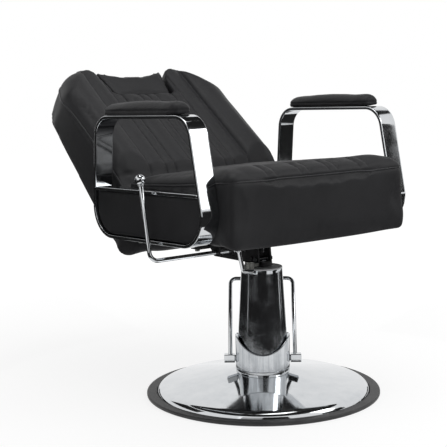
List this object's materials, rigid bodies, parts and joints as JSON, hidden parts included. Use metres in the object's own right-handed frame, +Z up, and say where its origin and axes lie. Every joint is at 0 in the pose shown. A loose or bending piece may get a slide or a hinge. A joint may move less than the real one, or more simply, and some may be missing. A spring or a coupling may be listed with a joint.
{
  "type": "reclining threading chair",
  "caption": "Reclining salon threading chair with flat steel arm loops and padded channel cushions, on a hydraulic column over a round dish base with a foot pump pedal.",
  "frame": {"origin": "centre of the round base on the floor, on the column's axis", "axes": "+Z up; the sitter faces -Y; +X is the sitter's left"},
  "size_m": [0.6995, 0.924, 0.8258],
  "materials": {
    "chrome": "polished plate",
    "satin_steel": "plain machined",
    "black_paint": "satin enamel",
    "grey_vinyl": "embossed, semi-matt",
    "rubber": "moulded, matt",
    "board": "plain plywood",
    "zinc": "zinc plated",
    "grey_plastic": "moulded, satin",
    "black_plastic": "moulded, matt",
    "cast_weight": "raw casting"
  },
  "bodies": {
    "base": {"base_ring": "rubber", "base_dish": "chrome", "base_weight": "cast_weight", "pump_flange": "chrome", "flange_bolts": "chrome", "pump_body": "black_paint", "pump_gland": "black_plastic", "upper_sleeve": "chrome", "lower_collar": "chrome", "column_cap": "grey_plastic"},
    "pedal": {"pedal_axle": "chrome", "pedal_bail": "chrome", "pedal_block_left": "rubber", "pedal_block_right": "rubber"},
    "ram": {"pump_ram": "satin_steel", "ram_retainer": "satin_steel"},
    "seat": {"carrier_hub": "black_paint", "fork_plate_left": "black_paint", "fork_plate_right": "black_paint", "cross_bolt": "chrome", "carrier_bolt": "black_paint", "release_screw": "chrome", "carrier_plate": "black_paint", "lock_barrel": "zinc", "seat_frame": "black_paint", "seat_board": "board", "frame_wedge_left": "black_paint", "frame_wedge_right": "black_paint", "arm_loop_left": "chrome", "arm_loop_right": "chrome", "arm_crossbar_left": "chrome", "arm_crossbar_right": "chrome", "side_panel_left": "grey_vinyl", "side_panel_right": "grey_vinyl", "arm_pad_left": "grey_vinyl", "arm_pad_right": "grey_vinyl", "arm_bolts": "zinc", "seat_cushion": "grey_vinyl", "lever_clip_outer": "black_paint", "lever_clip_inner": "black_paint", "seat_bracket_left": "black_paint", "seat_bracket_right": "black_paint", "hinge_pin_left": "zinc", "hinge_pin_right": "zinc", "gas_pin": "satin_steel"},
    "lever": {"recline_lever": "chrome", "lever_ball": "chrome"},
    "back": {"hinge_tube": "black_paint", "back_strap_left": "black_paint", "back_strap_right": "black_paint", "back_cushion": "grey_vinyl", "back_board": "board", "headrest_guides": "black_plastic"},
    "headrest": {"headrest_cushion": "grey_vinyl", "headrest_posts": "chrome"},
    "gas_cylinder": {"gas_cylinder": "black_paint"},
    "gas_rod": {"gas_rod": "satin_steel", "clevis_pin": "satin_steel"}
  },
  "joints": [
    {"name": "pump_lift", "type": "slide", "parent": "base", "child": "ram", "axis": [0, 0, 1], "range_m": [0, 0.15]},
    {"name": "seat_swivel", "type": "hinge", "parent": "ram", "child": "seat", "pos_m": [0, 0, 0.335], "axis": [0, 0, 1], "continuous": true},
    {"name": "recline", "type": "hinge", "parent": "seat", "child": "back", "pos_m": [0, 0.206, 0.5], "axis": [1, 0, 0], "range_deg": [0, 40]},
    {"name": "headrest_slide", "type": "slide", "parent": "back", "child": "headrest", "axis": [0, 0.7986, 0.6018], "range_m": [0, 0.06]},
    {"name": "lever_pull", "type": "hinge", "parent": "seat", "child": "lever", "pos_m": [0, -0.008, 0.381], "axis": [-1, 0, 0], "range_deg": [0, 25], "stiffness_Nm_per_rad": 2, "springref_deg": -28.65},
    {"name": "pedal_press", "type": "hinge", "parent": "base", "child": "pedal", "pos_m": [0, 0, 0.088], "axis": [0.7638, -0.6455, 0], "range_deg": [-30, 0], "stiffness_Nm_per_rad": 8, "springref_deg": 20.05},
    {"name": "gas_swing", "type": "hinge", "parent": "seat", "child": "gas_cylinder", "pos_m": [0, 0.04, 0.366], "axis": [1, 0, 0], "range_deg": [-0.2, 2.6]},
    {"name": "gas_extend", "type": "slide", "parent": "gas_cylinder", "child": "gas_rod", "axis": [0, 0.996, 0.0894], "range_m": [0, 0.082]}
  ],
  "couplings": [
    {"joint": "gas_swing", "follows": "recline", "ratio": 0.06},
    {"joint": "gas_extend", "follows": "recline", "m_per_rad": 0.1168}
  ]
}
